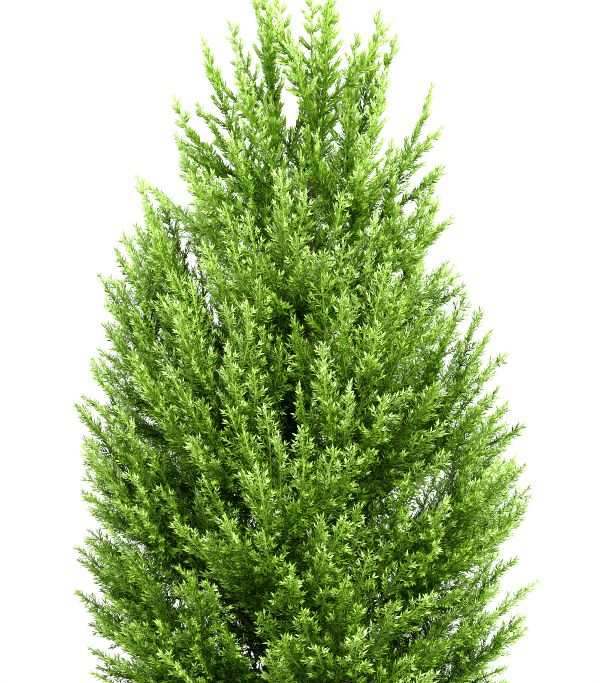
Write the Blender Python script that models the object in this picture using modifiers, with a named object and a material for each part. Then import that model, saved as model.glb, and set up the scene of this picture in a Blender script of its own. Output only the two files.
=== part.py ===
"""A young false cypress: a whole tree rooted in the ground, with a dense crown of upright plumes.

Metres, +Z up. The origin is the centre of the trunk's flat cut at ground level, and the side that
the picture shows faces -Y. The trunk runs up through the crown. Boughs rise from it in a spiral and
end where they enter the masses of foliage. Each mass is one plume: a stem in a toothed core, and
twigs round it that bear slim three-sided sprays. The teeth stand for side shoots with their needles.
"""

import math
import random
from collections import namedtuple

import bmesh
import bpy
import numpy as np
from mathutils import Matrix, Quaternion, Vector
from mathutils.bvhtree import BVHTree

UP = Vector((0.0, 0.0, 1.0))
CLEARANCE = 0.0003
TRUNK_CLEARANCE = 0.0004
BOUGH_CLEARANCE = 0.0006
BORDER = 0.0012
GOLDEN_ANGLE = math.radians(137.508)

# The trunk
TRUNK_TOP = 0.478
TRUNK_LEAN = 0.012
TRUNK_SWAY = 0.0035
TRUNK_RADIUS = 0.0066
TRUNK_TIP_RADIUS = 0.0012
TRUNK_TAPER = 0.85
FLARE_RADIUS = 0.0042
FLARE_HEIGHT = 0.011
UPRIGHT_FOOT = 0.0126
TRUNK_RINGS = 15
TRUNK_SIDES = 8
RING_CROWDING = 1.35

# The crown, tier by tier from its top. Angles are in degrees, and a turn of 0 points to +X.
Tier = namedtuple("Tier", "name plumes top spread rise stagger lean turn has_bough")
TIERS = (
    Tier("leader", 4, 0.541, 0.037, 0.150, 0.045, 7, 186, False),
    Tier("shoulder", 6, 0.486, 0.081, 0.165, 0.045, 18, 60, False),
    Tier("upper", 5, 0.416, 0.103, 0.160, 0.045, 24, 186, False),
    Tier("middle", 6, 0.348, 0.131, 0.155, 0.045, 31, 54, True),
    Tier("wide", 6, 0.262, 0.140, 0.140, 0.045, 42, 78, True),
    Tier("low", 6, 0.170, 0.136, 0.105, 0.028, 56, 165, True),
    Tier("skirt", 5, 0.096, 0.112, 0.061, 0.018, 68, 200, False),
)
TIP_SCATTER = 0.008
TURN_SCATTER = 0.10
TOP_STAGGER = 0.4
PATH_BEND = 0.55

# The crown's outline: its radius where it is widest, and how it closes above and below that
CROWN_RADIUS = 0.146
WIDEST_HEIGHT = 0.235
CLOSING_HEIGHT = 0.580
SKIRT_DEPTH = 0.200
SKIRT_NARROWING = 0.34
CLOSING_START = 1.6
CLOSING_ROUNDNESS = 0.65
LOWEST_FOLIAGE = 0.022
TIP_INSET = 0.007

# The crown stands higher at -X than at +X, most at mid height, and has a dent at +X
TILT = 0.022
TILT_HEIGHT = 0.400
TILT_DEPTH = 0.140
DENT = 0.022
DENT_HEIGHT = 0.375
DENT_DEPTH = 0.055

# A plume is measured along its path, from 0 at the trunk's axis to 1 at its furthest tip.
PATH_STEPS = 24
BOUGH_END = 0.25
BARE_STEM_END = 0.20
FIRST_TWIG_GAP = 0.03
STEM_END = 0.56
SPACE_FROM = 0.08

# Limbs and twigs
BOUGH_STEPS = 4
BOUGH_ROOT_RADIUS = 0.0024
BOUGH_TIP_RADIUS = 0.0016
STEM_RADIUS = 0.0015
STEM_TIP_RADIUS = 0.0008
TWIG_RADIUS = 0.0011
TWIG_TIP_RADIUS = 0.0007
TWIGS_PER_PLUME = 3
TWIG_LENGTH = 0.030
TWIG_ANGLE = math.radians(44)
TWIGS_END = 0.64
TWIG_SPREAD = (0.85, 1.15)
FIRST_TWIG_STEP = 0.35
OUTWARD_PULL = 0.22

# Sprays
SPRAY_LENGTH = 0.086
SPRAY_LENGTHS = (0.85, 1.05)
SPRAY_RADIUS = 0.0165
SPRAY_SINK = 0.004
SPRAY_SIDES = 3
TEETH = (1.0, 0.8)
TOOTH_FOOT = 0.6
TOOTH_RISE = 0.14
WAIST_RISE = 0.10
WAIST = 0.4
TOOTH_TURN = math.radians(22)
KEPT_DIRECTION = 0.6
UPWARD_PULL = 0.55
FIRST_BEND = 0.5
SIDE_SPRAY_SHARE = 0.78
SIDE_SPRAY_ANGLE = math.radians(38)
SIDE_SPRAY_PLACE = 0.55
SHORTER = (1.0, 0.86, 0.72, 0.58, 0.46)

# The core of a plume: rows of three teeth that point forward, each row turned from the one before
CORE_RADIUS = 0.030
CORE_FOOT = 0.45
CORE_TIP = 0.10
CORE_CLOSING = 1.02
CORE_LATER = (0.0, 0.04, 0.08, 0.12, 0.18, 0.24, 0.30)
CORE_ROWS = 5
CORE_SIDES = 6
CORE_FULLEST = 0.35
VALLEY_DEPTH = 0.55
NOTCH_DEPTH = 0.5
NOTCH_BACK = 0.05
ROW_TURN = math.radians(71)
TOOTH_REACH = 0.14
CORE_INSET = 0.0026
DRAWN_IN = (1.0, 0.85, 0.7, 0.56, 0.44, 0.34, 0.25)

MASS_SEED = 4100


def material(name, colour, roughness):
    made = bpy.data.materials.new(name)
    made.use_nodes = True
    shader = made.node_tree.nodes["Principled BSDF"]
    shader.inputs["Base Color"].default_value = (*colour, 1.0)
    shader.inputs["Roughness"].default_value = roughness
    shader.inputs["Metallic"].default_value = 0.0
    return made


def collection(name):
    made = bpy.data.collections.new(name)
    bpy.context.scene.collection.children.link(made)
    return made


def trunk_axis(height):
    """The trunk's centre at a height: upright over the root flare, then with a slight sway and lean."""
    share = max(height - UPRIGHT_FOOT, 0.0) / TRUNK_TOP
    side = TRUNK_LEAN * share**2 + TRUNK_SWAY * math.sin(2 * math.pi * share) * share
    back = TRUNK_SWAY * math.sin(3 * math.pi * share) * share
    return Vector((side, back, height))


def trunk_radius(height):
    share = min(height / TRUNK_TOP, 1.0)
    taper = TRUNK_TIP_RADIUS + (TRUNK_RADIUS - TRUNK_TIP_RADIUS) * (1 - share) ** TRUNK_TAPER
    return taper + FLARE_RADIUS * math.exp(-height / FLARE_HEIGHT)


def trunk_points():
    """Heights from the flat cut to the tip, closer together over the root flare."""
    shares = [(i / TRUNK_RINGS) ** RING_CROWDING for i in range(TRUNK_RINGS + 1)]
    return [trunk_axis(TRUNK_TOP * share) for share in shares]


def mesh_of(obj, target):
    """The evaluated mesh of a curve as a mesh object in target, with its caps welded. The curve goes."""
    graph = bpy.context.evaluated_depsgraph_get()
    mesh = bpy.data.meshes.new_from_object(obj.evaluated_get(graph))
    work = bmesh.new()
    work.from_mesh(mesh)
    bmesh.ops.remove_doubles(work, verts=work.verts, dist=1e-6)
    bmesh.ops.recalc_face_normals(work, faces=work.faces)
    work.to_mesh(mesh)
    work.free()
    name, world = obj.name, obj.matrix_world.copy()
    bpy.data.objects.remove(obj)
    made = bpy.data.objects.new(name, mesh)
    made.matrix_world = world
    target.objects.link(made)
    return made


def limb(name, points, radii, target, sides=6, profile=None):
    """A tapering limb along points: a bevelled curve with filled caps, made a mesh."""
    curve = bpy.data.curves.new(name, "CURVE")
    curve.dimensions = "3D"
    curve.twist_mode = "MINIMUM"
    curve.use_fill_caps = True
    if profile is None:
        curve.bevel_depth = 1.0
        curve.bevel_resolution = (sides - 4) // 2
    else:
        curve.bevel_mode = "OBJECT"
        curve.bevel_object = profile
    spline = curve.splines.new("POLY")
    spline.points.add(len(points) - 1)
    for spot, point, radius in zip(spline.points, points, radii):
        spot.co = (*point, 1.0)
        spot.radius = radius
    obj = bpy.data.objects.new(name, curve)
    target.objects.link(obj)
    bpy.context.view_layer.update()
    return mesh_of(obj, target)


def triangle_profile(target):
    """The three-sided section of a twig, as a closed curve of radius 1."""
    curve = bpy.data.curves.new("twig_section", "CURVE")
    spline = curve.splines.new("POLY")
    spline.points.add(2)
    spline.use_cyclic_u = True
    for i, spot in enumerate(spline.points):
        angle = 2 * math.pi * i / 3
        spot.co = (math.cos(angle), math.sin(angle), 0.0, 1.0)
    obj = bpy.data.objects.new("twig_section", curve)
    obj.hide_render = True
    target.objects.link(obj)
    return obj


class Plume:
    """One mass of foliage: the path of its limb, from the trunk's axis to its furthest tip."""

    def __init__(self, tier, index, number):
        self.name = f"{tier.name}_plume_{index + 1}"
        self.tier = tier
        self.number = number
        self.random = random.Random(MASS_SEED + number)
        turn = math.radians(tier.turn) + 2 * math.pi * index / tier.plumes
        turn += self.random.uniform(-TURN_SCATTER, TURN_SCATTER)
        self.outward = Vector((math.cos(turn), math.sin(turn), 0.0))
        scatter = self.random.uniform(-TIP_SCATTER, TIP_SCATTER)
        step = ((index * 2) % tier.plumes) / tier.plumes - 0.5
        top = tier.top + scatter + TOP_STAGGER * tier.stagger * step
        top -= float(tilt(tier.top)) * self.outward.x
        root = tier.top - tier.rise + tier.stagger * step
        centre = trunk_axis(min(top, TRUNK_TOP))
        spread = min(tier.spread, float(crown_radius(top, self.outward.x)) - TIP_INSET)
        tip = Vector((centre.x, centre.y, top)) + spread * self.outward
        lean = math.radians(tier.lean)
        self.heading = math.sin(lean) * self.outward + math.cos(lean) * UP
        start = trunk_axis(root)
        bend = tip - self.heading * PATH_BEND * (tip - start).length
        self.corners = (start, bend, tip)
        self.length = (tip - start).length
        self.foliage_start = BOUGH_END + FIRST_TWIG_GAP if tier.has_bough else BARE_STEM_END
        self.path = [self.at(i / PATH_STEPS) for i in range(PATH_STEPS + 1)]

    def at(self, share):
        start, bend, tip = self.corners
        rest = 1 - share
        return rest * rest * start + 2 * rest * share * bend + share * share * tip

    def along(self, share):
        start, bend, tip = self.corners
        return ((1 - share) * (bend - start) + share * (tip - bend)).normalized()


def all_plumes():
    made = []
    for tier in TIERS:
        for index in range(tier.plumes):
            made.append(Plume(tier, index, len(made)))
    return made


def tilt(heights):
    """How much higher the crown stands at -X, and lower at +X, at each height."""
    return TILT * np.exp(-(((heights - TILT_HEIGHT) / TILT_DEPTH) ** 2))


def crown_radius(heights, towards_x):
    """The crown's radius: a tilted egg that closes above the tip and narrows to the skirt."""
    levels = heights + tilt(heights) * towards_x
    above = np.clip((levels - WIDEST_HEIGHT) / (CLOSING_HEIGHT - WIDEST_HEIGHT), 0, 1)
    below = np.clip((WIDEST_HEIGHT - levels) / SKIRT_DEPTH, 0, 1)
    egg = CROWN_RADIUS * (1 - above**CLOSING_START) ** CLOSING_ROUNDNESS
    dent = DENT * np.exp(-(((heights - DENT_HEIGHT) / DENT_DEPTH) ** 2)) * np.maximum(towards_x, 0)
    return egg * (1 - SKIRT_NARROWING * below**2) - dent


class Space:
    """Which mass a point belongs to: the one whose path runs nearest, inside the crown's outline."""

    def __init__(self, plumes):
        kept = [[p for i, p in enumerate(plume.path) if i / PATH_STEPS >= SPACE_FROM] for plume in plumes]
        self.points = np.array([[tuple(p) for p in path] for path in kept])

    def is_free(self, number, points, inset=BORDER):
        """For each point, whether it is in that mass's own space and clear of its borders."""
        spots = np.array([tuple(p) for p in points])
        gaps = np.linalg.norm(spots[:, None, None, :] - self.points[None], axis=3).min(axis=2)
        own = gaps[:, number].copy()
        gaps[:, number] = np.inf
        is_own = gaps.min(axis=1) - own > inset
        across = spots[:, 0] - TRUNK_LEAN * np.clip(spots[:, 2] / TRUNK_TOP, 0, 1) ** 2
        out = np.maximum(np.hypot(across, spots[:, 1]), CLEARANCE)
        is_inside = (out < crown_radius(spots[:, 2], across / out)) & (spots[:, 2] > LOWEST_FOLIAGE)
        return is_own & is_inside

    def holds(self, number, points):
        return bool(self.is_free(number, points).all())


def spray_pattern():
    """A spray of unit length along +Z and unit radius: a zigzag profile turned in a few steps.

    Each row of teeth stands for side shoots and points forward, and the rows wind round the spray.
    """
    profile = [(0.0, 0.0)]
    for i, fullness in enumerate(TEETH):
        share = (i + TOOTH_FOOT) / (len(TEETH) + TOOTH_FOOT)
        profile += [(fullness, share + TOOTH_RISE), (WAIST * fullness, share + WAIST_RISE)]
    profile.append((0.0, 1.0))
    line = bpy.data.meshes.new("spray")
    edges = [(i, i + 1) for i in range(len(profile) - 1)]
    line.from_pydata([(x, 0.0, z) for x, z in reversed(profile)], edges, [])
    obj = bpy.data.objects.new(line.name, line)
    bpy.context.scene.collection.objects.link(obj)
    turned = obj.modifiers.new("turned", "SCREW")
    turned.steps = turned.render_steps = SPRAY_SIDES
    turned.use_merge_vertices = True
    turned.merge_threshold = 1e-5
    graph = bpy.context.evaluated_depsgraph_get()
    mesh = bpy.data.meshes.new_from_object(obj.evaluated_get(graph))
    bpy.data.objects.remove(obj)
    for vert in mesh.vertices:
        row = min(range(len(profile)), key=lambda i: abs(profile[i][1] - vert.co.z))
        vert.co = Matrix.Rotation(row * TOOTH_TURN, 4, "Z") @ vert.co
    work = bmesh.new()
    work.from_mesh(mesh)
    bmesh.ops.remove_doubles(work, verts=work.verts, dist=1e-5)
    bmesh.ops.recalc_face_normals(work, faces=work.faces)
    bmesh.ops.triangulate(work, faces=work.faces)
    work.to_mesh(mesh)
    work.free()
    return mesh


def core_radius(share):
    """The core's radius, as a share of its largest, from its foot at 0 to its tip at 1."""
    if share < CORE_FULLEST:
        return CORE_FOOT + (1 - CORE_FOOT) * math.sin(0.5 * math.pi * share / CORE_FULLEST)
    beyond = (share - CORE_FULLEST) / (CORE_CLOSING - CORE_FULLEST)
    return CORE_TIP + (1 - CORE_TIP) * math.cos(0.5 * math.pi * beyond)


def core(plume, space, start, target):
    """A toothed body along the plume's path, each ring drawn in to where the plume's space ends."""
    points = [plume.at(start)]
    for row in range(CORE_ROWS):
        share = row / CORE_ROWS + TOOTH_REACH
        spot = start + (1 - start) * share
        centre, forward = plume.at(spot), plume.along(spot)
        side = forward.orthogonal().normalized()
        turns = [plume.number + row * ROW_TURN + 2 * math.pi * i / CORE_SIDES for i in range(CORE_SIDES)]
        outwards = [Quaternion(forward, turn) @ side for turn in turns]
        radii = []
        for i, outward in enumerate(outwards):
            radius = CORE_RADIUS * core_radius(share) * (VALLEY_DEPTH if i % 2 else 1.0)
            free = space.is_free(plume.number, [centre + outward * radius * part for part in DRAWN_IN], CORE_INSET)
            radii.append(radius * (DRAWN_IN[int(np.argmax(free))] if free.any() else DRAWN_IN[-1]))
        points += [centre + outward * radius for outward, radius in zip(outwards, radii)]
        foot = plume.at(spot - (1 - start) * NOTCH_BACK)
        for i, outward in enumerate(outwards):
            around = (radii[i - 1] + 2 * radii[i] + radii[(i + 1) % CORE_SIDES]) / 4
            points.append(foot + outward * around * NOTCH_DEPTH)
    points.append(plume.at(1.0))
    faces = []
    last = 2 * CORE_ROWS - 1
    for i in range(CORE_SIDES):
        j = (i + 1) % CORE_SIDES
        faces.append((0, 1 + j, 1 + i))
        for ring in range(last):
            low, high = 1 + ring * CORE_SIDES, 1 + (ring + 1) * CORE_SIDES
            faces.append((low + i, low + j, high + j, high + i))
        faces.append((1 + last * CORE_SIDES + i, 1 + last * CORE_SIDES + j, len(points) - 1))
    mesh = bpy.data.meshes.new("core")
    mesh.from_pydata([tuple(p) for p in points], [], faces)
    work = bmesh.new()
    work.from_mesh(mesh)
    bmesh.ops.triangulate(work, faces=work.faces)
    bmesh.ops.recalc_face_normals(work, faces=work.faces)
    work.to_mesh(mesh)
    work.free()
    made = bpy.data.objects.new("core", mesh)
    target.objects.link(made)
    return made


def spray(name, pattern, root, direction, towards, length, target):
    """A spray that leaves root along direction and bends to towards."""
    side = direction.orthogonal().normalized()
    top = direction.cross(side).normalized()
    radius = SPRAY_RADIUS * (0.5 + 0.5 * length / SPRAY_LENGTH)
    mesh = pattern.copy()
    for vert in mesh.vertices:
        across, over, share = vert.co
        run = share * (length + SPRAY_SINK) - SPRAY_SINK
        bent = direction * run + (towards - direction) * max(run, 0.0) ** 2 / (2 * length)
        vert.co = root + bent + (side * across + top * over) * radius
    made = bpy.data.objects.new(name, mesh)
    target.objects.link(made)
    return made


def edge_points(obj):
    """A piece's corners and the middles of its edges, where it could cross a border."""
    corners = [v.co.copy() for v in obj.data.vertices]
    middles = [(corners[a] + corners[b]) / 2 for a, b in (e.vertices for e in obj.data.edges)]
    return corners + middles


def tree_of(obj):
    work = bmesh.new()
    work.from_mesh(obj.data)
    made = BVHTree.FromBMesh(work)
    work.free()
    return made


class Mass:
    """Grows the solids of one plume into a collection, and joins them."""

    def __init__(self, plume, space, limbs, shapes):
        self.plume = plume
        self.space = space
        self.limbs = limbs
        self.shapes = shapes
        self.pieces = collection(f"{plume.name}_pieces")
        self.count = 0

    def fits(self, obj):
        if not self.space.holds(self.plume.number, edge_points(obj)):
            return False
        shape = tree_of(obj)
        return not any(shape.overlap(limb_shape) for limb_shape in self.limbs)

    def add_core(self, first):
        """The longest core along the plume's path that keeps to the space and clear of the limbs."""
        for later in CORE_LATER:
            made = core(self.plume, self.space, first + later, self.pieces)
            if self.fits(made):
                return
            bpy.data.objects.remove(made)

    def add_spray(self, root, direction, towards, length):
        """The longest spray that keeps to the space and clear of the limbs, or none."""
        self.count += 1
        name = f"spray_{self.count}"
        for share in SHORTER:
            made = spray(name, self.shapes["spray"], root, direction, towards, length * share, self.pieces)
            if self.fits(made):
                return
            bpy.data.objects.remove(made)

    def stem(self):
        plume = self.plume
        first = BOUGH_END if plume.tier.has_bough else 0.0
        steps = 2 if plume.tier.has_bough else 4
        shares = [first + (STEM_END - first) * i / steps for i in range(steps + 1)]
        points = [plume.at(share) for share in shares]
        if plume.tier.has_bough:
            points[0] += plume.along(first) * CLEARANCE
        radii = [STEM_RADIUS + (STEM_TIP_RADIUS - STEM_RADIUS) * i / steps for i in range(steps + 1)]
        return limb(plume.name, points, radii, self.pieces, profile=self.shapes["section"])

    def twig(self, root, direction, length):
        """A short three-sided twig that starts on the stem's axis, or none where it has no room."""
        for share in SHORTER:
            tip = root + direction * length * share
            made = limb(
                "twig", [root, tip], [TWIG_RADIUS, TWIG_TIP_RADIUS], self.pieces,
                profile=self.shapes["section"],
            )
            if self.fits(made):
                return tip
            bpy.data.objects.remove(made)
        return None

    def grow(self):
        plume, rng = self.plume, self.plume.random
        first = plume.foliage_start
        self.add_core(first)
        spin = rng.uniform(0, 2 * math.pi)
        for i in range(TWIGS_PER_PLUME):
            share = first + (TWIGS_END - first) * (i + FIRST_TWIG_STEP) / TWIGS_PER_PLUME
            root, forward = plume.at(share), plume.along(share)
            around = Quaternion(forward, spin + i * GOLDEN_ANGLE)
            sideways = around @ forward.orthogonal().normalized()
            angle = TWIG_ANGLE * rng.uniform(*TWIG_SPREAD)
            direction = math.cos(angle) * forward + math.sin(angle) * sideways
            direction = (direction + OUTWARD_PULL * plume.outward).normalized()
            length = SPRAY_LENGTH * rng.uniform(*SPRAY_LENGTHS)
            swing = rng.choice((-1, 1)) * SIDE_SPRAY_ANGLE
            tip = self.twig(root, direction, TWIG_LENGTH * rng.uniform(*TWIG_SPREAD))
            if tip is None:
                continue
            towards = (KEPT_DIRECTION * direction + UPWARD_PULL * plume.heading).normalized()
            self.add_spray(tip, (direction + FIRST_BEND * towards).normalized(), towards, length)
            turned = Quaternion(plume.outward, swing) @ direction
            side_root = root.lerp(tip, SIDE_SPRAY_PLACE)
            self.add_spray(side_root, turned, towards, length * SIDE_SPRAY_SHARE)

    def join(self, cutter, target):
        stem = self.stem()
        self.pieces.objects.unlink(stem)
        target.objects.link(stem)
        union = stem.modifiers.new("join", "BOOLEAN")
        union.operation = "UNION"
        union.operand_type = "COLLECTION"
        union.collection = self.pieces
        union.solver = "MANIFOLD"
        clear = stem.modifiers.new("clear_of_trunk", "BOOLEAN")
        clear.operation = "DIFFERENCE"
        clear.object = cutter
        clear.solver = "MANIFOLD"
        graph = bpy.context.evaluated_depsgraph_get()
        mesh = bpy.data.meshes.new_from_object(stem.evaluated_get(graph))
        stem.modifiers.clear()
        stem.data = mesh
        keep_largest(mesh)
        for obj in list(self.pieces.objects):
            bpy.data.objects.remove(obj)
        bpy.data.collections.remove(self.pieces)
        return stem


def keep_largest(mesh):
    """Drops loose scraps and the inner shells of sealed hollows, and keeps the largest body."""
    work = bmesh.new()
    work.from_mesh(mesh)
    bmesh.ops.triangulate(work, faces=work.faces)
    left = set(work.faces)
    bodies = []
    while left:
        body, edge_of_body = set(), [left.pop()]
        while edge_of_body:
            face = edge_of_body.pop()
            body.add(face)
            for edge in (e for e in face.edges if len(e.link_faces) == 2):
                for other in edge.link_faces:
                    if other in left:
                        left.remove(other)
                        edge_of_body.append(other)
        bodies.append(body)
    largest = max(bodies, key=volume_of)
    dropped = [face for body in bodies if body is not largest for face in body]
    bmesh.ops.delete(work, geom=dropped, context="FACES")
    work.to_mesh(mesh)
    work.free()


def volume_of(faces):
    """Six times the signed volume that these triangles enclose."""
    return sum(f.verts[0].co.dot(f.verts[1].co.cross(f.verts[2].co)) for f in faces)


def build():
    for obj in list(bpy.data.objects):
        bpy.data.objects.remove(obj)
    tree = collection("false_cypress")
    helpers = collection("cutters")
    bark = material("bark", (0.16, 0.085, 0.045), 0.85)
    foliage = material("foliage", (0.21, 0.42, 0.05), 0.6)

    points = trunk_points()
    radii = [trunk_radius(p.z) for p in points]
    limb("trunk", points, radii, tree, sides=TRUNK_SIDES)
    longer = [points[0] - FLARE_HEIGHT * UP] + points + [points[-1] + CLEARANCE * UP]
    wider = [radius + TRUNK_CLEARANCE for radius in [radii[0]] + radii + [radii[-1]]]
    cutter = limb("trunk_space", longer, wider, helpers, sides=TRUNK_SIDES)
    cutter.hide_render = True
    cutter.display_type = "WIRE"

    plumes = all_plumes()
    limbs = [tree_of(cutter)]
    for plume in plumes:
        if not plume.tier.has_bough:
            continue
        shares = [i / BOUGH_STEPS for i in range(BOUGH_STEPS + 1)]
        path = [plume.at(BOUGH_END * share) for share in shares]
        radii = [BOUGH_ROOT_RADIUS + (BOUGH_TIP_RADIUS - BOUGH_ROOT_RADIUS) * share for share in shares]
        bough = limb(f"bough_{plume.name.replace('_plume', '')}", path, radii, tree)
        clear = bough.modifiers.new("clear_of_trunk", "BOOLEAN")
        clear.operation = "DIFFERENCE"
        clear.object = cutter
        wide = limb("bough_space", path[1:], [r + BOUGH_CLEARANCE for r in radii[1:]], helpers)
        limbs.append(tree_of(wide))
        bpy.data.objects.remove(wide)

    space = Space(plumes)
    shapes = {
        "spray": spray_pattern(),
        "section": triangle_profile(helpers),
    }
    for plume in plumes:
        mass = Mass(plume, space, limbs, shapes)
        mass.grow()
        mass.join(cutter, tree)

    for obj in tree.objects:
        is_wood = obj.name == "trunk" or obj.name.startswith("bough")
        obj.data.materials.clear()
        obj.data.materials.append(bark if is_wood else foliage)
        if is_wood:
            obj.data.shade_smooth()
            obj.data.set_sharp_from_angle(angle=math.radians(50))


build()
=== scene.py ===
# A young false cypress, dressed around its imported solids: bark with relief, and feathers of
# needles that grow on from the limbs by the rule of the solids. Metres, +Z up.
import math
import random
from collections import namedtuple

import bpy
import numpy as np
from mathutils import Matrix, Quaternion, Vector


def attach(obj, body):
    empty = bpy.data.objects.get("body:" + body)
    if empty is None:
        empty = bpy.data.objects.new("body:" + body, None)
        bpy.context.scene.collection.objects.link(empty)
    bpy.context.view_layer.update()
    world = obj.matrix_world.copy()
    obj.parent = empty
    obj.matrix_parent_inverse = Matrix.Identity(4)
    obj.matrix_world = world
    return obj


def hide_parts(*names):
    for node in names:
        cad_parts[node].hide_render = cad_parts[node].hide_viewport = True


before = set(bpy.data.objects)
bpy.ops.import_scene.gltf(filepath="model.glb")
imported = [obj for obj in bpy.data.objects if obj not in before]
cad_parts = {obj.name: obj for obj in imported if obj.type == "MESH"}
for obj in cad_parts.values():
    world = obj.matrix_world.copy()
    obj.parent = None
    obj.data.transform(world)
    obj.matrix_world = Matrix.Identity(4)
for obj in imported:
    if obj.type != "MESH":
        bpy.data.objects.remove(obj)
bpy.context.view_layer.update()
up = Vector((0.0, 0.0, 1.0))
white = (1.0, 1.0, 1.0, 1.0)
goldenAngle = math.radians(137.508)


def between(ends, share):
    # the value at a share of the way from the first end to the second
    return ends[0] + (ends[1] - ends[0]) * share


def outwardAt(turn):
    # the level direction away from the trunk, at a turn of 0 to +X
    return Vector((math.cos(turn), math.sin(turn), 0.0))


# Camera, light and floor
# The picture is 600 by 683 pixels of 0.6 mm at the trunk, and its middle is 0.329 m above the ground.
cameraSet = {
    "distance": 1.5, "height": 0.329, "viewHeight": 0.4098, "sensor": 36.0, "nearest": 0.05,
    "filterWidth": 0.8,
}
worldSet = {"strength": 1.0}
lightSet = {
    "key": {"place": (0.80, -1.87, 1.55), "size": 0.8, "power": 84.0},
    "fill": {"place": (-1.5, -1.4, 0.6), "size": 1.4, "power": 12.0},
}
floorSet = {
    "radius": 0.8, "sides": 96, "colour": (0.86, 0.86, 0.85), "roughness": 0.7, "fadeFrom": 0.25,
}


def makeCamera():
    camera = bpy.data.objects.new("camera", bpy.data.cameras.new("camera"))
    bpy.context.scene.collection.objects.link(camera)
    camera.location = (0.0, -cameraSet["distance"], cameraSet["height"])
    camera.rotation_euler = (math.radians(90), 0.0, 0.0)
    camera.data.sensor_width = cameraSet["sensor"]
    camera.data.lens = cameraSet["sensor"] * cameraSet["distance"] / cameraSet["viewHeight"]
    camera.data.clip_start = cameraSet["nearest"]
    bpy.context.scene.camera = camera


def makeLights():
    world = bpy.data.worlds.new("studio")
    world.use_nodes = True
    background = world.node_tree.nodes["Background"]
    background.inputs["Color"].default_value = white
    background.inputs["Strength"].default_value = worldSet["strength"]
    bpy.context.scene.world = world
    target = Vector((0.0, 0.0, cameraSet["height"]))
    for name, values in lightSet.items():
        light = bpy.data.lights.new(name, "AREA")
        light.size = values["size"]
        light.energy = values["power"]
        lamp = bpy.data.objects.new(name, light)
        lamp.location = values["place"]
        lamp.rotation_euler = (target - lamp.location).to_track_quat("-Z", "Y").to_euler()
        bpy.context.scene.collection.objects.link(lamp)
    bpy.context.scene.view_settings.view_transform = "Standard"
    bpy.context.scene.cycles.filter_width = cameraSet["filterWidth"]
    bpy.context.scene.cycles.denoising_prefilter = "NONE"


# Shader maths as plain expressions
class Wire:
    # a socket in a material's nodes
    def __init__(self, tree, socket=None):
        self.tree = tree
        self.socket = socket

    def node(self, kind, settings, values, output=0):
        made = self.tree.nodes.new(kind)
        for name, value in settings.items():
            if name == "stops":
                for stop, (place, colour) in enumerate(value):
                    if stop > 1:
                        made.color_ramp.elements.new(place)
                    made.color_ramp.elements[stop].position = place
                    made.color_ramp.elements[stop].color = (*colour, 1.0)
            else:
                setattr(made, name, value)
        for name, value in values.items():
            if isinstance(value, Wire):
                self.tree.links.new(value.socket, made.inputs[name])
            else:
                made.inputs[name].default_value = value
        return Wire(self.tree, made.outputs[output])

    def maths(self, operation, first, second):
        return self.node("ShaderNodeMath", {"operation": operation}, {0: first, 1: second})

    def __sub__(self, other):
        return self.maths("SUBTRACT", self, other)

    def __rsub__(self, other):
        return self.maths("SUBTRACT", other, self)

    def __mul__(self, other):
        return self.maths("MULTIPLY", self, other)

    __rmul__ = __mul__

    def mixed(self, first, second):
        # the colour between two others, by this value
        settings = {"data_type": "RGBA"}
        values = {0: self, 6: first, 7: second}
        return self.node("ShaderNodeMix", settings, values, output=2)


def startMaterial(name):
    made = bpy.data.materials.new(name)
    made.use_nodes = True
    shader = made.node_tree.nodes["Principled BSDF"]
    return made, shader, Wire(made.node_tree)


def plainMaterial(name, colour, finish):
    made, shader, wire = startMaterial(name)
    shader.inputs["Base Color"].default_value = (*colour, 1.0)
    shader.inputs["Roughness"].default_value = finish["roughness"]
    shader.inputs["Specular IOR Level"].default_value = finish["specular"]
    return made, shader, wire


def join(wire, node, name):
    wire.tree.links.new(wire.socket, node.inputs[name])


def mixShader(shader, wire, share, other):
    # a material's own shader, mixed by a share with another one
    solid = Wire(wire.tree, shader.outputs["BSDF"])
    mixed = wire.node("ShaderNodeMixShader", {}, {0: share, 1: solid, 2: other})
    join(mixed, wire.tree.nodes["Material Output"], "Surface")


def fromRange(ends):
    return {"From Min": ends[0], "From Max": ends[1]}


# Meshes from arrays
def unit(vectors):
    return vectors / np.maximum(np.linalg.norm(vectors, axis=-1, keepdims=True), 1e-12)


def makePiece(name, points, faces, material, nodes, smooth=False):
    mesh = bpy.data.meshes.new(name)
    mesh.vertices.add(len(points))
    mesh.vertices.foreach_set("co", np.ascontiguousarray(points, np.float32).ravel())
    mesh.loops.add(faces.size)
    mesh.loops.foreach_set("vertex_index", np.ascontiguousarray(faces, np.int32).ravel())
    mesh.polygons.add(len(faces))
    mesh.polygons.foreach_set("loop_start", np.arange(0, faces.size, faces.shape[1], dtype=np.int32))
    mesh.update(calc_edges=True)
    mesh.validate()
    if smooth:
        mesh.shade_smooth()
    mesh.materials.append(material)
    piece = bpy.data.objects.new(name, mesh)
    bpy.context.scene.collection.objects.link(piece)
    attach(piece, "root")
    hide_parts(*nodes)


def joined(parts):
    # the points and faces of several meshes as those of one
    points = np.concatenate([part[0] for part in parts])
    starts = np.cumsum([0] + [len(part[0]) for part in parts])
    return points, np.concatenate([part[1] + start for part, start in zip(parts, starts)])


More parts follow.
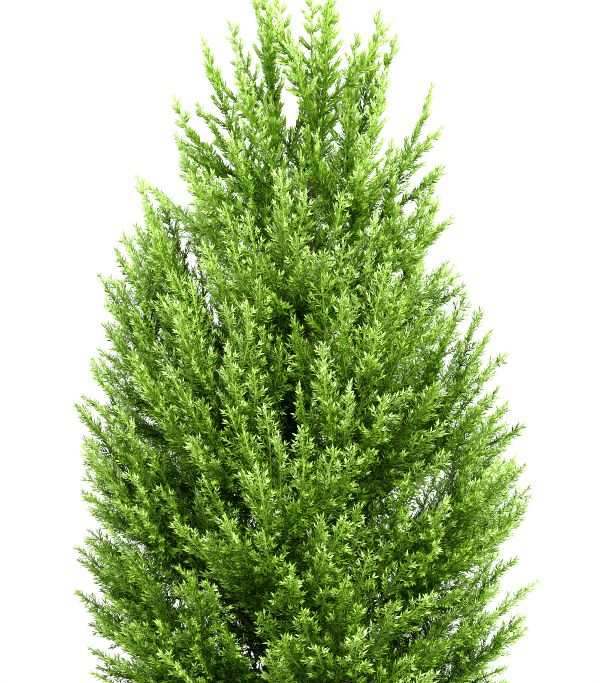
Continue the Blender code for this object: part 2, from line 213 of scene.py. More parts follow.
# The growth rule of the solids, repeated
trunkForm = {
    "top": 0.478, "lean": 0.012, "sway": 0.0035, "radius": 0.0066, "tipRadius": 0.0012,
    "taper": 0.85, "flareRadius": 0.0042, "flareHeight": 0.011, "uprightFoot": 0.0126,
}
crownForm = {
    "radius": 0.146, "widestHeight": 0.235, "closingHeight": 0.580, "skirtDepth": 0.200,
    "skirtNarrowing": 0.34, "closingStart": 1.6, "closingRoundness": 0.65, "lowest": 0.022,
    "twigMargin": 0.004, "tipInset": 0.007, "leastRadius": 0.02,
    "tilt": 0.022, "tiltHeight": 0.400, "tiltDepth": 0.140,
    "dent": 0.022, "dentHeight": 0.375, "dentDepth": 0.055,
}
plumeForm = {
    "seed": 4100, "tipScatter": 0.008, "turnScatter": 0.10, "topStagger": 0.4, "pathBend": 0.55,
    "boughEnd": 0.25, "bareStemEnd": 0.20, "firstTwigGap": 0.03, "firstTwigStep": 0.35,
    "twigs": 3, "twigLength": 0.030, "twigSpread": (0.85, 1.15), "twigAngle": 44, "twigsEnd": 0.64,
    "outwardPull": 0.22, "ownPull": 0.6, "upwardPull": 0.55, "featherLength": 0.086,
    "featherLengths": (0.85, 1.05), "sideShare": 0.78, "sideAngle": 38, "sidePlace": 0.55,
}
Tier = namedtuple("Tier", "name plumes top spread rise stagger lean turn hasBough")
tiers = (
    Tier("leader", 4, 0.541, 0.037, 0.150, 0.045, 7, 186, False),
    Tier("shoulder", 6, 0.486, 0.081, 0.165, 0.045, 18, 60, False),
    Tier("upper", 5, 0.416, 0.103, 0.160, 0.045, 24, 186, False),
    Tier("middle", 6, 0.348, 0.131, 0.155, 0.045, 31, 54, True),
    Tier("wide", 6, 0.262, 0.140, 0.140, 0.045, 42, 78, True),
    Tier("low", 6, 0.170, 0.136, 0.105, 0.028, 56, 165, True),
    Tier("skirt", 5, 0.096, 0.112, 0.061, 0.018, 68, 200, False),
)


def trunkAxis(height):
    share = max(height - trunkForm["uprightFoot"], 0.0) / trunkForm["top"]
    side = trunkForm["lean"] * share**2 + trunkForm["sway"] * math.sin(2 * math.pi * share) * share
    back = trunkForm["sway"] * math.sin(3 * math.pi * share) * share
    return Vector((side, back, height))


def trunkRadius(height):
    share = min(height / trunkForm["top"], 1.0)
    taper = between((trunkForm["tipRadius"], trunkForm["radius"]), (1 - share) ** trunkForm["taper"])
    return taper + trunkForm["flareRadius"] * math.exp(-height / trunkForm["flareHeight"])


def tilt(height):
    return crownForm["tilt"] * np.exp(-(((height - crownForm["tiltHeight"]) / crownForm["tiltDepth"]) ** 2))


def crownRadius(height, towardsX):
    # a tilted egg with a dent at +X
    level = height + tilt(height) * towardsX
    widest, closing = crownForm["widestHeight"], crownForm["closingHeight"]
    above = np.clip((level - widest) / (closing - widest), 0.0, 1.0)
    below = np.clip((widest - level) / crownForm["skirtDepth"], 0.0, 1.0)
    egg = (1 - above ** crownForm["closingStart"]) ** crownForm["closingRoundness"]
    egg = crownForm["radius"] * egg
    dent = np.exp(-(((height - crownForm["dentHeight"]) / crownForm["dentDepth"]) ** 2))
    dent = crownForm["dent"] * dent * np.maximum(towardsX, 0)
    return egg * (1 - crownForm["skirtNarrowing"] * below**2) - dent


def outerShare(points):
    # how far out points lie: 0 on the trunk's axis, 1 on the crown's outline
    points = np.asarray(points)
    height = points[..., 2]
    lean = trunkForm["lean"] * np.clip(height / trunkForm["top"], 0, 1) ** 2
    across = points[..., 0] - lean
    out = np.maximum(np.hypot(across, points[..., 1]), 1e-6)
    return out / np.maximum(crownRadius(height, across / out), crownForm["leastRadius"])


class Plume:
    # one mass of foliage: the path of its limb, from the trunk's axis at 0 to its furthest tip at 1
    def __init__(self, tier, index, number):
        self.name = f"{tier.name}_plume_{index + 1}"
        self.bough = f"bough_{tier.name}_{index + 1}"
        self.tier = tier
        self.number = number
        self.random = random.Random(plumeForm["seed"] + number)
        turn = math.radians(tier.turn) + 2 * math.pi * index / tier.plumes
        turn += self.random.uniform(-plumeForm["turnScatter"], plumeForm["turnScatter"])
        self.outward = outwardAt(turn)
        scatter = self.random.uniform(-plumeForm["tipScatter"], plumeForm["tipScatter"])
        step = ((index * 2) % tier.plumes) / tier.plumes - 0.5
        top = tier.top + scatter + plumeForm["topStagger"] * tier.stagger * step
        top -= float(tilt(tier.top)) * self.outward.x
        root = tier.top - tier.rise + tier.stagger * step
        centre = trunkAxis(min(top, trunkForm["top"]))
        reach = float(crownRadius(top, self.outward.x)) - crownForm["tipInset"]
        spread = min(tier.spread, reach)
        tip = Vector((centre.x, centre.y, top)) + spread * self.outward
        lean = math.radians(tier.lean)
        self.heading = math.sin(lean) * self.outward + math.cos(lean) * up
        start = trunkAxis(root)
        bend = tip - self.heading * plumeForm["pathBend"] * (tip - start).length
        self.corners = (start, bend, tip)
        self.limbEnd = 0.0
        self.firstTwig = plumeForm["bareStemEnd"]
        if tier.hasBough:
            self.limbEnd = plumeForm["boughEnd"]
            self.firstTwig = self.limbEnd + plumeForm["firstTwigGap"]

    def at(self, share):
        start, bend, tip = self.corners
        rest = 1 - share
        return rest * rest * start + 2 * rest * share * bend + share * share * tip

    def along(self, share):
        start, bend, tip = self.corners
        return ((1 - share) * (bend - start) + share * (tip - bend)).normalized()

    def leave(self, share, turn, angle):
        # a place on the limb, and the direction that leaves it there at a turn and an angle
        forward = self.along(share)
        sideways = Quaternion(forward, turn) @ forward.orthogonal().normalized()
        return self.at(share), math.cos(angle) * forward + math.sin(angle) * sideways


def allPlumes():
    made = []
    for tier in tiers:
        for index in range(tier.plumes):
            made.append(Plume(tier, index, len(made)))
    return made


# Bark
barkSet = {
    "dark": (0.052, 0.031, 0.011), "light": (0.215, 0.135, 0.054), "grey": (0.25, 0.205, 0.125),
    "fibreScale": (420.0, 420.0, 60.0), "fibreDetail": 5.0, "fibreRange": (0.36, 0.66),
    "wornScale": 90.0, "wornDetail": 3.0, "wornRange": (0.48, 0.72), "wornShare": 0.5,
    "roughness": 0.92, "hollowSheen": 0.2, "bump": 0.6, "bumpDepth": 0.0006,
    "trunkSeed": 11, "trunkSides": 32, "trunkRings": 220, "ringCrowding": 1.2,
    "boughSeed": 40, "boughSides": 18, "boughRings": 30, "boughRadii": (0.0024, 0.0016),
    "seam": (0.3, 1.0, 0.05), "relief": 0.075, "flareLobes": 0.10, "lobes": 3, "lobeTurn": 0.6,
    # for each set of ridges: how many round the limb, over what length they wander, and their height
    "ridges": ((5, 0.050, 1.0), (8, 0.034, 0.7), (13, 0.019, 0.55), (21, 0.011, 0.35)),
    "wander": 1.3, "fadeLevel": 0.65, "fadeDepth": 0.35, "fadePeriod": 1.7, "fadeTurns": 2,
    "anyPhase": (0.0, 6.3),
}


def barkMaterial():
    made, shader, wire = startMaterial("fibrousBark")
    place = wire.node("ShaderNodeTexCoord", {}, {}, output=3)
    drawn = wire.node("ShaderNodeMapping", {}, {"Vector": place, "Scale": barkSet["fibreScale"]})
    fine = {"Vector": drawn, "Scale": 1.0, "Detail": barkSet["fibreDetail"]}
    fibres = wire.node("ShaderNodeTexNoise", {}, fine)
    coarse = {"Vector": place, "Scale": barkSet["wornScale"], "Detail": barkSet["wornDetail"]}
    broad = wire.node("ShaderNodeTexNoise", {}, coarse)
    strands = wire.node("ShaderNodeMapRange", {}, {"Value": fibres, **fromRange(barkSet["fibreRange"])})
    worn = wire.node("ShaderNodeMapRange", {}, {"Value": broad, **fromRange(barkSet["wornRange"])})
    stops = ((0.0, barkSet["dark"]), (1.0, barkSet["light"]))
    colour = wire.node("ShaderNodeValToRGB", {"stops": stops}, {"Fac": strands})
    colour = (worn * barkSet["wornShare"]).mixed(colour, (*barkSet["grey"], 1.0))
    join(colour, shader, "Base Color")
    hollows = 1 - strands
    join(barkSet["roughness"] - hollows * barkSet["hollowSheen"], shader, "Roughness")
    relief = {"Height": fibres, "Strength": barkSet["bump"], "Distance": barkSet["bumpDepth"]}
    join(wire.node("ShaderNodeBump", {}, relief), shader, "Normal")
    return made


def barkTube(centres, radii, seed, sides, lobes=0.0):
    # rings round a limb's axis, with long ridges that wander, fork and fade along it
    chance = np.random.default_rng(seed)
    centres = np.array([tuple(c) for c in centres])
    forward = unit(np.gradient(centres, axis=0))
    side = unit(np.cross(forward, barkSet["seam"]))
    over = np.cross(forward, side)
    run = np.concatenate(([0.0], np.cumsum(np.linalg.norm(np.diff(centres, axis=0), axis=1))))
    turn = np.linspace(0, 2 * np.pi, sides, endpoint=False)[None, :]
    relief = np.zeros((len(centres), sides))
    for count, period, size in barkSet["ridges"]:
        wander = np.sin(2 * np.pi * run / period + chance.uniform(*barkSet["anyPhase"]))[:, None]
        slow = 2 * np.pi * run / (barkSet["fadePeriod"] * period) + turn.T * barkSet["fadeTurns"]
        fade = barkSet["fadeLevel"] + barkSet["fadeDepth"] * np.sin(slow).T
        phase = count * turn + barkSet["wander"] * wander + chance.uniform(*barkSet["anyPhase"])
        relief += size * fade * np.sin(phase)
    relief = barkSet["relief"] * relief
    flare = lobes * np.exp(-centres[:, 2:3] / trunkForm["flareHeight"])
    relief += flare * np.sin(barkSet["lobes"] * turn + barkSet["lobeTurn"])
    reach = np.asarray(radii)[:, None] * (1 + relief)
    rings = centres[:, None] + reach[..., None] * (
        side[:, None] * np.cos(turn)[..., None] + over[:, None] * np.sin(turn)[..., None]
    )
    if lobes:
        rings[0, :, 2] = 0.0
    points = np.concatenate((rings.reshape(-1, 3), centres[:1], centres[-1:]))
    ring, step = np.meshgrid(np.arange(len(centres) - 1), np.arange(sides), indexing="ij")
    ring, step = ring.ravel() * sides, step.ravel()
    after = (step + 1) % sides
    low = np.stack((ring + step, ring + after, ring + sides + after), axis=1)
    high = np.stack((ring + step, ring + sides + after, ring + sides + step), axis=1)
    steps, nexts = np.arange(sides), (np.arange(sides) + 1) % sides
    last = (len(centres) - 1) * sides
    foot = np.stack((nexts, steps, np.full(sides, len(points) - 2)), axis=1)
    head = np.stack((last + steps, last + nexts, np.full(sides, len(points) - 1)), axis=1)
    return points, np.concatenate((low, high, foot, head))


def makeBark(plumes):
    bark = barkMaterial()
    rings = np.linspace(0, 1, barkSet["trunkRings"] + 1) ** barkSet["ringCrowding"]
    heights = trunkForm["top"] * rings
    centres = [trunkAxis(height) for height in heights]
    radii = [trunkRadius(height) for height in heights]
    sides, lobes = barkSet["trunkSides"], barkSet["flareLobes"]
    points, faces = barkTube(centres, radii, barkSet["trunkSeed"], sides, lobes)
    makePiece("barkTrunk", points, faces, bark, ["trunk"], smooth=True)
    foot, tip = barkSet["boughRadii"]
    boughs = [plume for plume in plumes if plume.tier.hasBough]
    limbs = []
    for plume in boughs:
        shares = np.linspace(0.0, plume.limbEnd, barkSet["boughRings"] + 1)
        radii = foot + (tip - foot) * shares / plume.limbEnd
        centres = [plume.at(share) for share in shares]
        limbs.append(barkTube(centres, radii, barkSet["boughSeed"] + plume.number, barkSet["boughSides"]))
    points, faces = joined(limbs)
    names = [plume.bough for plume in boughs]
    makePiece("barkBoughs", points, faces, bark, names, smooth=True)


# Feathers: where they leave the limbs, with counts by tier, and pairs from a limb's foot to its tip
featherSet = {
    "seed": 7300, "reachSeed": 7299, "sideFeathers": (0, 0, 5, 8, 8, 8, 7), "lastShare": 0.93,
    "angle": (44, 26), "length": (0.080, 0.050), "placeScatter": (0.2, 0.8), "angleScatter": (0.8, 1.2),
    "lengthScatter": (0.8, 1.15), "pull": 0.16, "upturn": 0.85, "endFrom": 0.40, "endSlack": 1.02,
    "shorter": 0.90, "shortest": 0.026, "reach": (0.86, 0.97), "lowest": 0.036, "highest": 0.546,
}
# feathers that grow to where there is still room, first at the crown's outline and then inside it,
# further apart towards +X by the share sideGap
seekSets = {
    "outer": {
        "seed": 7400, "spacing": 0.019, "lowest": 0.027, "highest": 0.545, "depth": (0.82, 0.97),
        "heights": (0.41, 0.46, 0.51, 0.54), "gaps": (0.0150, 0.026, 0.035, 0.019),
        "sideGap": 0.32, "length": 0.075, "place": 1.0,
    },
    "inner": {
        "seed": 7450, "spacing": 0.020, "lowest": 0.050, "highest": 0.380, "depth": (0.08, 0.74),
        "heights": (0.05, 0.38), "gaps": (0.0142, 0.0142), "sideGap": 0.60, "length": 0.050, "place": 0.6,
    },
}
seekSet = {
    "stems": (0.10, 0.80), "stemPlaces": 16, "longest": 0.100, "slack": 1.05, "levelScatter": 0.4,
    "leastRise": 0.5, "droopCost": 0.5,
}
# short feathers round the limbs, deep in the crown, with darker needles: partly the real darker inner
# foliage, partly painted shade
innerSet = {
    "seed": 7500, "counts": (0, 1, 3, 4, 4, 4, 3), "stem": (0.06, 0.62), "angle": (45, 85),
    "length": (0.034, 0.058), "upturn": 0.8, "reach": 0.74,
}
# feathers straight from the trunk's upper part
leaderSet = {
    "seed": 7600, "count": 16, "heights": (0.290, 0.435), "angle": (25, 52), "length": (0.024, 0.036),
    "upturn": 0.9,
}
Feather = namedtuple("Feather", "root go to length kind")


class Feathers:
    # collects the feathers of all the plumes
    def __init__(self):
        self.made = []
        self.random = random.Random(featherSet["reachSeed"])

    def spotOf(self, root, go, to, length, share=1.0):
        return root + length * share * (go + (to - go) * share / 2)

    def fits(self, tip, reach=1.0):
        lowest = crownForm["lowest"] + crownForm["twigMargin"]
        return lowest < tip.z < featherSet["highest"] and outerShare(tip) < reach

    def add(self, root, go, to, length, kind="outer"):
        # the longest feather whose tip keeps inside the crown's outline, some short of it
        reach = innerSet["reach"] if kind == "inner" else self.random.uniform(*featherSet["reach"])
        while length > featherSet["shortest"]:
            tip = self.spotOf(root, go, to, length)
            if tip.z > featherSet["lowest"] and self.fits(tip, reach):
                self.made.append(Feather(root, go, to, length, kind))
                return self.made[-1]
            length *= featherSet["shorter"]
        return None

    def growTwigs(self, plume):
        # the solids' own twigs, with the same random draws
        rng, first = plume.random, plume.firstTwig
        spin = rng.uniform(0, 2 * math.pi)
        for i in range(plumeForm["twigs"]):
            step = i + plumeForm["firstTwigStep"]
            share = first + (plumeForm["twigsEnd"] - first) * step / plumeForm["twigs"]
            angle = math.radians(plumeForm["twigAngle"]) * rng.uniform(*plumeForm["twigSpread"])
            root, go = plume.leave(share, spin + i * goldenAngle, angle)
            go = (go + plumeForm["outwardPull"] * plume.outward).normalized()
            length = plumeForm["featherLength"] * rng.uniform(*plumeForm["featherLengths"])
            swing = rng.choice((-1, 1)) * math.radians(plumeForm["sideAngle"])
            reach = plumeForm["twigLength"] * rng.uniform(*plumeForm["twigSpread"])
            if not self.fits(root + go * reach):
                continue
            to = (plumeForm["ownPull"] * go + plumeForm["upwardPull"] * plume.heading).normalized()
            twig = self.add(root, go, to, length + reach)
            if twig and plume.tier.name != "leader":
                place = plumeForm["sidePlace"] * reach / twig.length
                fork = self.spotOf(root, go, to, twig.length, place)
                side = Quaternion(plume.outward, swing) @ go
                self.add(fork, side, to, length * plumeForm["sideShare"])

    def growFiner(self, plume):
        # finer feathers straight from the stem, turned by the golden angle, and the stem's own end
        rng = random.Random(featherSet["seed"] + plume.number)
        spin = rng.uniform(0, 2 * math.pi)
        count = featherSet["sideFeathers"][tiers.index(plume.tier)]
        for i in range(count):
            part = (i + rng.uniform(*featherSet["placeScatter"])) / count
            share = between((plume.firstTwig, featherSet["lastShare"]), part)
            angle = between(featherSet["angle"], part) * rng.uniform(*featherSet["angleScatter"])
            root, go = plume.leave(share, spin + i * goldenAngle, math.radians(angle))
            go = (go + featherSet["pull"] * plume.outward).normalized()
            to = (go + featherSet["upturn"] * plume.heading).normalized()
            length = between(featherSet["length"], part) * rng.uniform(*featherSet["lengthScatter"])
            self.add(root, go, to, length)
        share = featherSet["endFrom"]
        root, tip, go = plume.at(share), plume.at(1.0), plume.along(share)
        length = featherSet["endSlack"] * (tip - root).length
        to = (2 * (tip - root) / length - go).normalized()
        self.made.append(Feather(root, go, to, length, "outer"))

    def growInner(self, plume):
        rng = random.Random(innerSet["seed"] + plume.number)
        spin = rng.uniform(0, 2 * math.pi)
        count = innerSet["counts"][tiers.index(plume.tier)]
        for i in range(count):
            part = (i + rng.random()) / count
            angle = math.radians(rng.uniform(*innerSet["angle"]))
            root, go = plume.leave(between(innerSet["stem"], part), spin + i * goldenAngle, angle)
            to = (go + innerSet["upturn"] * up).normalized()
            self.add(root, go, to, rng.uniform(*innerSet["length"]), "inner")

    def growLeader(self):
        rng = random.Random(leaderSet["seed"])
        for i in range(leaderSet["count"]):
            part = (i + rng.random()) / leaderSet["count"]
            root = trunkAxis(between(leaderSet["heights"], part))
            angle = math.radians(rng.uniform(*leaderSet["angle"]))
            go = math.cos(angle) * up + math.sin(angle) * outwardAt(i * goldenAngle)
            to = (go + leaderSet["upturn"] * up).normalized()
            self.add(root, go, to, rng.uniform(*leaderSet["length"]))

    def seek(self, plumes, kind):
        # goes round the crown row by row, and grows a feather to each place that no other is near
        form = seekSets[kind]
        rng = random.Random(form["seed"])
        others = [f for f in self.made if kind in (f.kind, "inner")]
        taken = [tuple(self.spotOf(f.root, f.go, f.to, f.length, form["place"])) for f in others]
        shares = np.linspace(*seekSet["stems"], seekSet["stemPlaces"]).tolist()
        stems = [(plume, plume.at(share)) for plume in plumes for share in shares]
        roots = np.array([tuple(root) for plume, root in stems])
        height = form["lowest"]
        while height < form["highest"]:
            around = max(int(2 * math.pi * float(crownRadius(height, 0.0)) / form["spacing"]), 3)
            start = rng.uniform(0, 2 * math.pi)
            for i in range(around):
                turn = start + 2 * math.pi * i / around
                scatter = rng.uniform(-seekSet["levelScatter"], seekSet["levelScatter"])
                level = height + scatter * form["spacing"]
                reach = float(crownRadius(level, math.cos(turn))) * rng.uniform(*form["depth"])
                centre = trunkAxis(min(max(level, 0.0), trunkForm["top"]))
                goal = Vector((centre.x + reach * math.cos(turn), centre.y + reach * math.sin(turn), level))
                if level < featherSet["lowest"] or not self.fits(goal):
                    continue
                gap = np.interp(goal.z, form["heights"], form["gaps"])
                gap *= 1 + form["sideGap"] * max(math.cos(turn), 0.0)
                if np.linalg.norm(np.array(taken) - tuple(goal), axis=1).min() < gap:
                    continue
                offset = np.array(tuple(goal)) - roots
                distance = np.linalg.norm(offset, axis=1)
                droop = np.maximum(distance * seekSet["leastRise"] - offset[:, 2], 0)
                cost = abs(distance - form["length"]) + seekSet["droopCost"] * droop
                best = int(np.argmin(cost))
                plume, root = stems[best]
                if distance[best] > seekSet["longest"]:
                    continue
                length = float(distance[best]) * seekSet["slack"]
                lean = math.acos(max(min(plume.heading.z, 1.0), 0.0))
                to = math.sin(lean) * outwardAt(turn) + math.cos(lean) * up
                go = (2 * (goal - root) / length - to).normalized()
                self.made.append(Feather(root, go, to, length, kind))
                taken.append(tuple(self.spotOf(root, go, to, length, form["place"])))
            height += form["spacing"]


def spread(counts):
    # for items dealt out to owners: each item's owner, and its place in that owner's row
    owner = np.repeat(np.arange(len(counts)), counts)
    first = np.repeat(np.cumsum(counts) - counts, counts)
    return owner, np.arange(len(owner)) - first


class Shoots:
    # many shoots at once: each leaves its root along go and bends to another direction
    def __init__(self, root, go, to, length, side, light):
        self.root = root
        self.go = unit(go)
        self.to = unit(to)
        self.length = length
        self.side = side
        self.light = light

    def kept(self, chosen):
        parts = (self.root, self.go, self.to, self.length, self.side, self.light)
        return Shoots(*[part[chosen] for part in parts])

    def at(self, owner, share):
        run = (self.length[owner] * share)[:, None]
        bend = (self.to[owner] - self.go[owner]) * share[:, None] / 2
        return self.root[owner] + run * (self.go[owner] + bend)

    def along(self, owner, share):
        return unit(self.go[owner] + (self.to[owner] - self.go[owner]) * share[:, None])

    def sides(self, owner, forward):
        side = self.side[owner]
        side = unit(side - forward * (side * forward).sum(axis=1, keepdims=True))
        return side, np.cross(forward, side)


def turned(side, over, turn):
    return side * np.cos(turn)[:, None] + over * np.sin(turn)[:, None]


def tubes(shoots, radii, segments, sides=3):
    # tapering tubes along shoots, open at both ends, and whose each face is and where along it
    count = len(shoots.length)
    rings = segments + 1
    owner, place = spread(np.full(count, rings))
    share = place / segments
    forward = shoots.along(owner, share)
    side, over = shoots.sides(owner, forward)
    thick = between(radii, share)[:, None]
    centre = shoots.at(owner, share)
    turns = np.linspace(0, 2 * np.pi, sides, endpoint=False)
    corners = [centre + thick * (side * math.cos(t) + over * math.sin(t)) for t in turns]
    points = np.stack(corners, axis=1).reshape(-1, 3)
    whose, place = spread(np.full(count, segments))
    first = (whose * rings + place) * sides
    faces = []
    for i in range(sides):
        j = (i + 1) % sides
        faces.append(np.stack((first + i, first + j, first + sides + j), axis=1))
        faces.append(np.stack((first + i, first + sides + j, first + sides + i), axis=1))
    return points, np.concatenate(faces), np.tile(whose, 2 * sides), np.tile(place / segments, 2 * sides)


# Side shoots and needles
shootSet = {
    "seed": 31, "fewest": 4, "highSpacing": 1.40, "stem": (0.08, 0.965), "secondStep": 0.35,
    "stepScatter": 0.3, "baseLength": 0.0050, "lengthShare": 0.125, "shortening": 0.20,
    "swelling": (0.55, 1.3), "narrowing": (1.28, 0.28), "lengthScatter": (0.78, 1.18),
    "angle": (52, 40), "angleScatter": (0.85, 1.15), "upturn": 0.45, "roll": 24, "rollNoise": 0.22,
    "twist": 35, "outPull": (0.02, 0.02, 0.0), "reach": 0.97, "radii": (0.00036, 0.00020), "segments": 1,
    "axisRadii": (0.00075, 0.00045), "axisSegments": 6,
}
# for each kind of feather the gap between its side shoots, and the needles that they and its stem have
kindSets = {
    "outer": {"spacing": 0.0088, "shoots": ("tuft",), "axis": ("pressed", "single")},
    "inner": {"spacing": 0.0100, "shoots": ("inner",), "axis": ("inner",)},
}
# above this band the shoots are short and their needles pressed forward
highSet = {"from": 0.36, "to": 0.50}
# each value as it is low in the crown and high in it
needleForms = {
    "tuft": {
        "gap": (0.00156, 0.00165), "length": (0.0041, 0.0047), "shortening": (0.08, 0.08),
        "width": (0.00100, 0.00175), "foot": (50, 26), "head": (34, 15), "tips": 6, "tipAngle": (28, 16),
        "first": 0.04, "light": (0.0, 0.0), "noise": (0.13, 0.05),
    },
    "pressed": {
        "gap": (0.0020, 0.0023), "length": (0.0050, 0.0048), "shortening": (0.30, 0.15),
        "width": (0.00105, 0.00150), "foot": (42, 20), "head": (30, 13), "tips": 6, "tipAngle": (30, 15),
        "first": 0.03, "light": (0.02, 0.02), "noise": (0.11, 0.05),
    },
    "single": {
        "gap": (0.0054, 0.0060), "length": (0.0076, 0.0086), "shortening": (0.40, 0.25),
        "width": (0.00058, 0.00062), "foot": (60, 56), "head": (48, 44), "tips": 0, "tipAngle": (30, 30),
        "first": 0.05, "light": (0.04, -0.26), "noise": (0.10, 0.05),
    },
    # inner needles are a fixed step darker: partly the real darker inner foliage, partly painted shade
    "inner": {
        "gap": (0.0032, 0.0032), "length": (0.0072, 0.0060), "shortening": (0.35, 0.30),
        "width": (0.0020, 0.0015), "foot": (60, 50), "head": (36, 30), "tips": 3, "tipAngle": (24, 24),
        "first": 0.04, "light": (-0.13, -0.13), "noise": (0.08, 0.08),
    },
}
needleSet = {
    "fold": 0.55, "widestAt": 0.40, "fewest": 2, "firstStep": 0.3, "turnNoise": 0.22,
    "angleScatter": (0.8, 1.2), "lengthScatter": (0.82, 1.15), "width": (0.75, 0.25), "tipPower": 1.6,
    "roughness": 0.55, "specular": 0.03, "glow": 1.15, "through": 0.22,
}
# tones run from 0, the darkest green, to 1, the palest
toneSet = {
    # the outer term and the tone by height are painted shade and painted light: darker deep in the crown
    # and low down, lighter at its outline and top
    "base": 0.13, "outer": 0.18, "outerPower": 2.5, "feather": 0.27, "shoot": 0.35, "axis": 0.6,
    "axisWood": -0.04, "featherNoise": 0.08, "shootNoise": 0.06,
    "heights": (0.06, 0.15, 0.24, 0.32, 0.54), "paintedLightByHeight": (-0.10, -0.07, -0.015, 0.02, 0.22),
    "colours": (
        ("Shade", (0.0060, 0.046, 0.0002)), ("Deep", (0.0175, 0.092, 0.0004)),
        ("Leaf", (0.050, 0.172, 0.001)), ("Green", (0.110, 0.285, 0.003)),
        ("Fresh", (0.205, 0.420, 0.012)), ("Spring", (0.340, 0.565, 0.052)),
        ("Lime", (0.505, 0.715, 0.175)), ("Pale", (0.665, 0.850, 0.370)),
    ),
    "mostNeedles": 98000,
}


def featherAxes(feathers, chance):
    root = np.array([tuple(f.root) for f in feathers])
    go = np.array([tuple(f.go) for f in feathers])
    to = np.array([tuple(f.to) for f in feathers])
    length = np.array([f.length for f in feathers])
    outward = unit(root * (1, 1, 0) + to * shootSet["outPull"])
    flat = unit(np.cross(unit(go + to), outward))
    shoots = Shoots(root, go, to, length, flat, None)
    everyone = np.arange(len(feathers))
    forward = shoots.along(everyone, np.full(len(feathers), 0.5))
    side, over = shoots.sides(everyone, forward)
    twist = chance.uniform(-shootSet["twist"], shootSet["twist"], len(feathers))
    shoots.side = turned(side, over, np.radians(twist))
    shoots.light = chance.normal(0, toneSet["featherNoise"], len(feathers))
    return shoots


def highShare(points):
    return np.clip((points[:, 2] - highSet["from"]) / (highSet["to"] - highSet["from"]), 0, 1)


def sideShoots(axes, chance, spacing):
    # in pairs at nodes, longest in the middle of a feather, and none past the crown's outline
    wider = between((1, shootSet["highSpacing"]), highShare(axes.root))
    nodes = np.round(axes.length / (spacing * wider))
    nodes = np.maximum(shootSet["fewest"], nodes).astype(int)
    owner, place = spread(nodes * 2)
    total = len(owner)
    node, isSecond = place // 2, place % 2
    step = node + shootSet["secondStep"] * isSecond + chance.uniform(0, shootSet["stepScatter"], total)
    part = step / nodes[owner]
    share = between(shootSet["stem"], part)
    forward = axes.along(owner, share)
    side, over = axes.sides(owner, forward)
    roll = np.radians(shootSet["roll"]) * (node % 3 - 1) + chance.normal(0, shootSet["rollNoise"], total)
    out = turned(side, over, np.pi * isSecond + roll)
    angle = np.radians(between(shootSet["angle"], part)) * chance.uniform(*shootSet["angleScatter"], total)
    go = turned(forward, out, angle)
    to = unit(go + shootSet["upturn"] * forward)
    root = axes.at(owner, share)
    full = shootSet["baseLength"] + shootSet["lengthShare"] * axes.length[owner]
    full *= 1 - shootSet["shortening"] * highShare(root)
    swelling, narrowing = shootSet["swelling"], shootSet["narrowing"]
    profile = np.minimum(swelling[0] + swelling[1] * part, 1.0)
    profile *= np.clip(narrowing[0] - part, narrowing[1], 1.0)
    length = full * profile * chance.uniform(*shootSet["lengthScatter"], total)
    light = axes.light[owner] + toneSet["feather"] * part
    light += chance.normal(0, toneSet["shootNoise"], total)
    made = Shoots(root, go, to, length, np.cross(go, forward), light)
    tips = made.at(np.arange(len(length)), np.ones(len(length)))
    return made.kept(outerShare(tips) < shootSet["reach"])


def paintedLightAndShade(points):
    # painted light and shade: a base tone made darker deep in the crown and low down, and lighter towards
    # the crown's outline and its top
    outer = np.clip(outerShare(points), 0, 1) ** toneSet["outerPower"]
    tall = np.interp(points[:, 2], toneSet["heights"], toneSet["paintedLightByHeight"])
    return toneSet["base"] + toneSet["outer"] * outer + tall


def needlesOn(shoots, form, rise, chance):
    # needles in opposite pairs, each pair turned a quarter from the last, and a tuft at the tip
    gap = between(form["gap"], highShare(shoots.root))
    pairs = np.maximum(needleSet["fewest"], np.round(shoots.length / gap)).astype(int)
    owner, place = spread(pairs * 2 + form["tips"])
    total = len(owner)
    isTip = place >= pairs[owner] * 2
    node = place // 2
    share = form["first"] + (1 - form["first"]) * (node + needleSet["firstStep"]) / pairs[owner]
    share = np.where(isTip, 1.0, share)
    forward = shoots.along(owner, share)
    side, over = shoots.sides(owner, forward)
    turn = node * np.pi / 2 + (place % 2) * np.pi + chance.normal(0, needleSet["turnNoise"], total)
    turn = np.where(isTip, place * 2 * np.pi / 3, turn)
    out = turned(side, over, turn)
    base = shoots.at(owner, share)
    high = highShare(base)
    size, shortening, width, foot, head, tipAngle, lighter, noise = (
        between(form[name], high)
        for name in ("length", "shortening", "width", "foot", "head", "tipAngle", "light", "noise")
    )
    angle = np.where(isTip, tipAngle, between((foot, head), share))
    angle = np.radians(angle) * chance.uniform(*needleSet["angleScatter"], total)
    ahead = turned(forward, out, angle)
    across = np.cross(forward, out)
    above = np.cross(across, ahead)
    long = size * (1 - shortening * share) * chance.uniform(*needleSet["lengthScatter"], total)
    wide = width / 2 * (needleSet["width"][0] + needleSet["width"][1] * long / size)
    middle = base + ahead * (long * needleSet["widestAt"])[:, None]
    lift = above * (wide * needleSet["fold"])[:, None]
    sideStep = across * wide[:, None]
    tip = base + ahead * long[:, None]
    corners = np.stack((base, middle + sideStep + lift, tip, middle - sideStep + lift), axis=1)
    # a needle's tone: painted light and shade by its place in the crown, its form's and its shoot's own
    # tone, and paler towards its tip
    light = paintedLightAndShade(middle) + lighter + shoots.light[owner]
    light += rise * share ** needleSet["tipPower"]
    return corners, light + chance.normal(0, 1, total) * noise


def needleMaterial(name, colour):
    # some light comes through a needle, a little brighter than the light that it throws back
    made, shader, wire = plainMaterial(f"needle{name}", colour, needleSet)
    glow = tuple(min(c * needleSet["glow"], 1.0) for c in colour)
    thin = wire.node("ShaderNodeBsdfTranslucent", {}, {"Color": (*glow, 1.0)})
    mixShader(shader, wire, needleSet["through"], thin)
    return made


